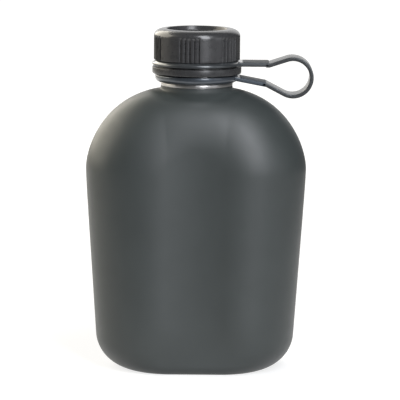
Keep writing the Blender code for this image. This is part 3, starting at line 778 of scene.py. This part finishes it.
# Strap, upper ring. The moulding's second ring, snapped into the cap's groove so that it stays with the cap
# and turns in it, with a level arm to the loop. Its edge is chamfered below and falls away in a curve above.
THREAD_ROOM = 0.0015
CAP_WALL = 0.0036
CAP_GROOVE_DEPTH = 0.0018
CAP_RADIUS = BARREL_RADIUS + THREAD_ROOM + CAP_WALL
CAP_GROOVE_RADIUS = CAP_RADIUS - CAP_GROOVE_DEPTH
UPPER_RING_WIDTH = 0.0025
UPPER_RING_BORE = CAP_GROOVE_RADIUS + RUNNING_GAP
UPPER_RING_RADIUS = UPPER_RING_BORE + UPPER_RING_WIDTH
UPPER_RING_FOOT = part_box("strap_upper_ring")[0][2]
UPPER_RING_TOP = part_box("strap_upper_ring")[1][2]
UPPER_RING_FLAT = 0.0005
UPPER_RING_CREST = 0.0017
UPPER_RING_CHAMFER = (0.0012, 0.0005)
UPPER_RING_CHAMFER_EDGE = 0.0002
UPPER_RING_ROUND = 0.0009
UPPER_RING_TOP_EDGE = 0.0003
UPPER_ARM_LENGTH = 0.0166
UPPER_RING_BLACK = (0.034, 0.037, 0.039)
UPPER_RING_SHEEN = (0.90, 0.96, 1.0)

upper_outline = rounded_outline([
    (UPPER_RING_BORE, UPPER_RING_FOOT, 0.0),
    (UPPER_RING_RADIUS - UPPER_RING_CHAMFER[0], UPPER_RING_FOOT, UPPER_RING_CHAMFER_EDGE),
    (UPPER_RING_RADIUS, UPPER_RING_FOOT + UPPER_RING_CHAMFER[1], UPPER_RING_CHAMFER_EDGE),
    (UPPER_RING_RADIUS, UPPER_RING_FOOT + UPPER_RING_CREST, UPPER_RING_ROUND),
    (UPPER_RING_BORE + UPPER_RING_FLAT, UPPER_RING_TOP, UPPER_RING_TOP_EDGE),
    (UPPER_RING_BORE, UPPER_RING_TOP, 0.0),
])
upper_looks = (UPPER_RING_BLACK, UPPER_RING_SHEEN)
upper_strap_plastic = strap_finish("upper_strap_plastic", *upper_looks, UPPER_RING_RADIUS)
upper_ring_mesh = turned("strap_upper", upper_outline, even_columns)
strap_upper = bpy.data.objects.new("strap_upper", upper_ring_mesh)
bpy.context.scene.collection.objects.link(strap_upper)
upper_arm_end_x = UPPER_RING_RADIUS + UPPER_ARM_LENGTH
upper_arm_z = UPPER_RING_FOOT + 0.5 * ARM_THICKNESS
upper_arm = strap_arm("upper_arm", UPPER_RING_BORE + ARM_ROOT_IN_RING, upper_arm_end_x, upper_arm_z, 0.0)
union(strap_upper, upper_arm)
strap_upper.data.materials.clear()
strap_upper.data.materials.append(upper_strap_plastic)
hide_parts("strap_upper_ring")
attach(strap_upper, "strap_upper")


# Strap, loop. The thin bend between the two arms, of one piece with them and moulded in its round shape. It
# is soft and opens as the cap rises on the real canteen; here it keeps its moulded shape.
LOOP_THICKNESS = 0.0023
LOOP_RADIUS = 0.0113
LOOP_STRAIGHT = 0.0029
LOOP_RISE = 0.0044
LOOP_DROP = 0.0005
LOOP_IN_ARM = 0.0020
LOOP_EDGE = 0.0005
LOOP_STEPS = 64
LOOP_BLACK = (0.052, 0.054, 0.055)

loop_x = upper_arm_end_x + LOOP_STRAIGHT + LOOP_RADIUS
loop_z = lower_arm_end_z + LOOP_RISE


def tangent_turn(x, z, side):
    """Angle round the loop's centre where the straight run from (x, z) meets the round part."""
    away = math.atan2(z - loop_z, x - loop_x)
    return away - side * math.acos(LOOP_RADIUS / math.hypot(x - loop_x, z - loop_z))


loop_root_z = upper_arm_z - LOOP_DROP
first = tangent_turn(upper_arm_end_x, loop_root_z, 1.0)
last = tangent_turn(lower_arm_end_x, lower_arm_end_z, -1.0)
while first < last:
    first += 2.0 * math.pi
path = [(upper_arm_end_x - LOOP_IN_ARM, loop_root_z), (upper_arm_end_x, loop_root_z)]
for step in range(LOOP_STEPS + 1):
    turn = first + (last - first) * step / LOOP_STEPS
    path.append((loop_x + LOOP_RADIUS * math.cos(turn), loop_z + LOOP_RADIUS * math.sin(turn)))
path.append((lower_arm_end_x, lower_arm_end_z))
loop_root_x = lower_arm_end_x - LOOP_IN_ARM * math.cos(LOWER_ARM_SLOPE)
path.append((loop_root_x, lower_arm_end_z - LOOP_IN_ARM * math.sin(LOWER_ARM_SLOPE)))
line = bpy.data.curves.new("loop_line", "CURVE")
line.dimensions = "3D"
spline = line.splines.new("POLY")
spline.points.add(len(path) - 1)
for point, (x, z) in zip(spline.points, path):
    point.co = (x, 0.0, z, 1.0)

loop_plastic, tree, shader = finish("loop_plastic", LOOP_BLACK, roughness=0.28)
mottled_colour(tree, shader, LOOP_BLACK, size=0.005, share=0.06)
tree.links.new(mottled_gloss(tree, size=0.003, low=0.25, high=0.31), shader.inputs["Roughness"])
shader.inputs["Specular Tint"].default_value = (*UPPER_RING_SHEEN, 1.0)
band_sizes = {"Width": STRAP_WIDTH, "Thickness": LOOP_THICKNESS, "Edge": LOOP_EDGE}
band_tree = new_tree("strap_band", band_sizes)
nodes, links = band_tree.nodes, band_tree.links
given = nodes.new("NodeGroupInput")
flat = nodes.new("GeometryNodeSetCurveNormal")
flat.mode = "FREE"
flat.inputs["Normal"].default_value = (0.0, 1.0, 0.0)
links.new(given.outputs["Geometry"], flat.inputs["Curve"])
section = nodes.new("GeometryNodeCurvePrimitiveQuadrilateral")
links.new(given.outputs["Width"], section.inputs["Width"])
links.new(given.outputs["Thickness"], section.inputs["Height"])
eased = nodes.new("GeometryNodeFilletCurve")
eased.mode = "POLY"
eased.inputs["Count"].default_value = 4
links.new(section.outputs[0], eased.inputs["Curve"])
links.new(given.outputs["Edge"], eased.inputs["Radius"])
band = nodes.new("GeometryNodeCurveToMesh")
band.inputs["Fill Caps"].default_value = True
links.new(flat.outputs[0], band.inputs["Curve"])
links.new(eased.outputs[0], band.inputs["Profile Curve"])
close_tree(band_tree, band.outputs[0], given)
strap_loop = grown("strap_bend", line, band_tree, band_sizes, loop_plastic)
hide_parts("strap_loop")
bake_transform(strap_loop)


# Cap. One moulding of black plastic with a semi-gloss skin: a lip, a groove for the strap's upper ring, a
# straight grip with groups of five round grooves, a soft shoulder that hands have polished, and a dished top.
# It screws on the neck.
CAP_BORE = BARREL_RADIUS + THREAD_ROOM
CAP_LIP_OVERHANG = 0.0009
CAP_LIP_RADIUS = CAP_RADIUS + CAP_LIP_OVERHANG
CAP_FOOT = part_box("cap")[0][2]
CAP_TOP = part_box("cap")[1][2]
CAP_LEDGE = UPPER_RING_FOOT - RUNNING_GAP
CAP_LIP_LOWERED = 0.0005
GRIP_FOOT = UPPER_RING_TOP + RUNNING_GAP
CAP_SHOULDER_RUN = 0.0060
CAP_SHOULDER_DROP = 0.0042
CAP_CROWN_WIDTH = 0.0017
DISH_CORNER_RUN = 0.0020
DISH_DEPTH = 0.0036
DISH_KNEE = (0.25, 0.62)
DISH_KNEE_ROUND = 0.0015
DISH_CORNER_ROUND = 0.0008
CAP_CROWN_EDGE = 0.0005
CAP_INNER_CORNER = 0.0006
CAP_MOUTH_EDGE = 0.0004
CAP_LIP_ROUND = 0.0008
CAP_LEDGE_EDGE = 0.0003
GRIP_FOOT_EDGE = 0.0003
CAP_TOP_WALL = 0.0025
CAP_UNDERSIDE = CAP_TOP - DISH_DEPTH - CAP_TOP_WALL
GRIP_GROUPS = 6
GROOVES_IN_GROUP = 5
GROOVE_PITCH = math.radians(6.2)
GROOVE_RADIUS = 0.0009
GROOVE_DEPTH = 0.0008
GROOVE_FOOT = -0.0006
GROOVE_HEAD = 0.0037
GROOVE_FOOT_RUN = 0.0004
GROOVE_HEAD_RUN = 0.0016
GROOVE_EDGE = 0.0002
GROOVE_SKIN = 0.0005
FIRST_GROUP = math.radians(-100.5)
GROUP_MARGIN = 0.4
GROUP_COLUMNS = 72
PLAIN_COLUMNS = 12
SHOULDER_STEPS = 16
GRIP_STEPS = 14
CAP_BLACK = (0.042, 0.042, 0.043)
CAP_POLISH = 0.35
CAP_POLISH_FOOT = (0.0062, 0.0046)
CAP_POLISH_EDGE = 0.0010
CAP_SMOOTH_DEG = 40.0

shoulder_r = CAP_RADIUS - CAP_SHOULDER_RUN
shoulder_z = CAP_TOP - CAP_SHOULDER_DROP
dish_r = shoulder_r - CAP_CROWN_WIDTH
outline = [
    (CAP_BORE, CAP_UNDERSIDE, CAP_INNER_CORNER),
    (CAP_BORE, CAP_FOOT, CAP_MOUTH_EDGE),
    (CAP_LIP_RADIUS, CAP_FOOT, CAP_LIP_ROUND),
    (CAP_LIP_RADIUS, CAP_LEDGE - CAP_LIP_LOWERED, CAP_LEDGE_EDGE),
    (CAP_GROOVE_RADIUS, CAP_LEDGE - CAP_LIP_LOWERED, 0.0),
    (CAP_GROOVE_RADIUS, GRIP_FOOT, 0.0),
    (CAP_RADIUS, GRIP_FOOT, GRIP_FOOT_EDGE),
]
for step in range(1, GRIP_STEPS):
    outline.append((CAP_RADIUS, GRIP_FOOT + (shoulder_z - GRIP_FOOT) * step / GRIP_STEPS, 0.0))
for step in range(SHOULDER_STEPS + 1):
    turn = 0.5 * math.pi * step / SHOULDER_STEPS
    out = shoulder_r + CAP_SHOULDER_RUN * math.cos(turn)
    outline.append((out, shoulder_z + CAP_SHOULDER_DROP * math.sin(turn), 0.0))
outline.append((dish_r, CAP_TOP, CAP_CROWN_EDGE))
knee_r = dish_r - DISH_KNEE[0] * DISH_CORNER_RUN
knee_z = CAP_TOP - DISH_KNEE[1] * DISH_DEPTH
outline.append((knee_r, knee_z, DISH_KNEE_ROUND))
outline.append((dish_r - DISH_CORNER_RUN, CAP_TOP - DISH_DEPTH, DISH_CORNER_ROUND))
outline.append((0.0, CAP_TOP - DISH_DEPTH, 0.0))
outline.append((0.0, CAP_UNDERSIDE, 0.0))

columns = []
group_turn = 2.0 * math.pi / GRIP_GROUPS
group_half = 0.5 * (GROOVES_IN_GROUP + GROUP_MARGIN) * GROOVE_PITCH
for group in range(GRIP_GROUPS):
    middle = FIRST_GROUP + group_turn * group
    for step in range(GROUP_COLUMNS):
        columns.append(middle - group_half + 2.0 * group_half * step / GROUP_COLUMNS)
    for step in range(PLAIN_COLUMNS):
        columns.append(middle + group_half + (group_turn - 2.0 * group_half) * step / PLAIN_COLUMNS)
cap_mesh = turned("cap", rounded_outline(outline), columns)

# The grip's tree: it moves the points of the cap's outer wall in towards the axis, to the bottom of the
# groove that they lie in. The cut is a round bar's, eased at its edges and run out at its foot and head.
grip_sizes = {
    "Radius": CAP_RADIUS,
    "First Group": FIRST_GROUP,
    "Group Turn": group_turn,
    "Grooves": float(GROOVES_IN_GROUP),
    "Groove Turn": GROOVE_PITCH,
    "Groove Radius": GROOVE_RADIUS,
    "Groove Depth": GROOVE_DEPTH,
    "Foot": GRIP_FOOT + GROOVE_FOOT,
    "Head": CAP_TOP - GROOVE_HEAD,
    "Foot Run": GROOVE_FOOT_RUN,
    "Head Run": GROOVE_HEAD_RUN,
    "Edge": GROOVE_EDGE,
    "Skin": GROOVE_SKIN,
}
grip_tree = new_tree("grip_grooves", grip_sizes)
nodes, links = grip_tree.nodes, grip_tree.links
m = sums(grip_tree)
given = nodes.new("NodeGroupInput")
where = nodes.new("GeometryNodeInputPosition")
parts = nodes.new("ShaderNodeSeparateXYZ")
links.new(where.outputs[0], parts.inputs[0])
x, y, z = parts.outputs
wall = given.outputs["Radius"]
depth = given.outputs["Groove Depth"]
groove = given.outputs["Groove Radius"]
radius = m("SQRT", m("ADD", m("MULTIPLY", x, x), m("MULTIPLY", y, y)))
half_group = m("MULTIPLY", given.outputs["Group Turn"], 0.5)
from_first = m("SUBTRACT", m("ARCTAN2", y, x), given.outputs["First Group"])
in_group = m("WRAP", from_first, half_group, m("MULTIPLY", half_group, -1.0))
half_groove = m("MULTIPLY", given.outputs["Groove Turn"], 0.5)
in_groove = m("WRAP", in_group, half_groove, m("MULTIPLY", half_groove, -1.0))
aside = m("MULTIPLY", in_groove, radius)
chord = m("MAXIMUM", m("SUBTRACT", m("MULTIPLY", groove, groove), m("MULTIPLY", aside, aside)), 0.0)
bar = m("ADD", m("SUBTRACT", wall, depth), groove)
half_cut = m("MULTIPLY", given.outputs["Grooves"], half_groove)
past_group = m("GREATER_THAN", m("ABSOLUTE", in_group), half_cut)
cut = m("ADD", m("SUBTRACT", bar, m("SQRT", chord)), m("MULTIPLY", past_group, wall))
carved = m("SMOOTH_MIN", radius, cut, given.outputs["Edge"])
rise = m("DIVIDE", m("SUBTRACT", z, given.outputs["Foot"]), given.outputs["Foot Run"])
fall = m("DIVIDE", m("SUBTRACT", given.outputs["Head"], z), given.outputs["Head Run"])
share = m("MAXIMUM", m("MINIMUM", m("MINIMUM", rise, fall), 1.0), 0.0)
inner = m("SUBTRACT", m("SUBTRACT", wall, depth), given.outputs["Skin"])
share = m("MULTIPLY", share, m("GREATER_THAN", radius, inner))
new_radius = m("ADD", radius, m("MULTIPLY", share, m("SUBTRACT", carved, radius)))
ratio = m("DIVIDE", new_radius, m("MAXIMUM", radius, 1e-6))
place = nodes.new("ShaderNodeCombineXYZ")
links.new(m("MULTIPLY", x, ratio), place.inputs[0])
links.new(m("MULTIPLY", y, ratio), place.inputs[1])
links.new(z, place.inputs[2])
moved = nodes.new("GeometryNodeSetPosition")
links.new(given.outputs["Geometry"], moved.inputs["Geometry"])
links.new(place.outputs[0], moved.inputs["Position"])
close_tree(grip_tree, moved.outputs[0], given)

cap_plastic, tree, shader = finish("cap_plastic", CAP_BLACK, roughness=0.29)
mottled_colour(tree, shader, CAP_BLACK, size=0.006, share=0.08)
tree.links.new(mottled_gloss(tree, size=0.004, low=0.25, high=0.33), shader.inputs["Roughness"])
grain(tree, shader, size=0.0012, height=0.00003, strength=0.06)
x, y, z, out = place_on_piece(tree)
handled = spread(tree, z, *[CAP_TOP - drop for drop in CAP_POLISH_FOOT], 0.0, CAP_POLISH, "SMOOTHSTEP")
outer = spread(tree, out, dish_r, dish_r + CAP_POLISH_EDGE)
tree.links.new(sums(tree)("MULTIPLY", handled, outer), shader.inputs["Coat Weight"])
shader.inputs["Coat Roughness"].default_value = 0.10
carved_cap = grown("carved_cap", cap_mesh, grip_tree, grip_sizes, cap_plastic, CAP_SMOOTH_DEG)
cap_thread_sizes = dict(thread_sizes)
cap_thread_sizes["Wall Radius"] = CAP_BORE
cap_thread_sizes["Side"] = -1.0
cap_thread_sizes["Foot"] = NECK_THREAD_FOOT - 0.5 * THREAD_PITCH
cap = grown("screw_cap", carved_cap.data, thread_tree, cap_thread_sizes, cap_plastic, CAP_SMOOTH_DEG)
bpy.data.objects.remove(carved_cap)
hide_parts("cap")
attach(cap, "cap")


# Washer. A flat ring of grey rubber, cut from sheet and laid loose under the cap's top, that seals it on the
# neck's lip. The CAD solid is its true shape and stays.
WASHER_GREY = (0.30, 0.29, 0.27)
washer_rubber, tree, shader = finish("washer_rubber", WASHER_GREY, roughness=0.72)
mottled_colour(tree, shader, WASHER_GREY, size=0.003, share=0.10)
grain(tree, shader, size=0.0004, height=0.00005, strength=0.25)
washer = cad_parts["cap_gasket"]
for slot_place in washer.material_slots:
    slot_place.material = washer_rubber
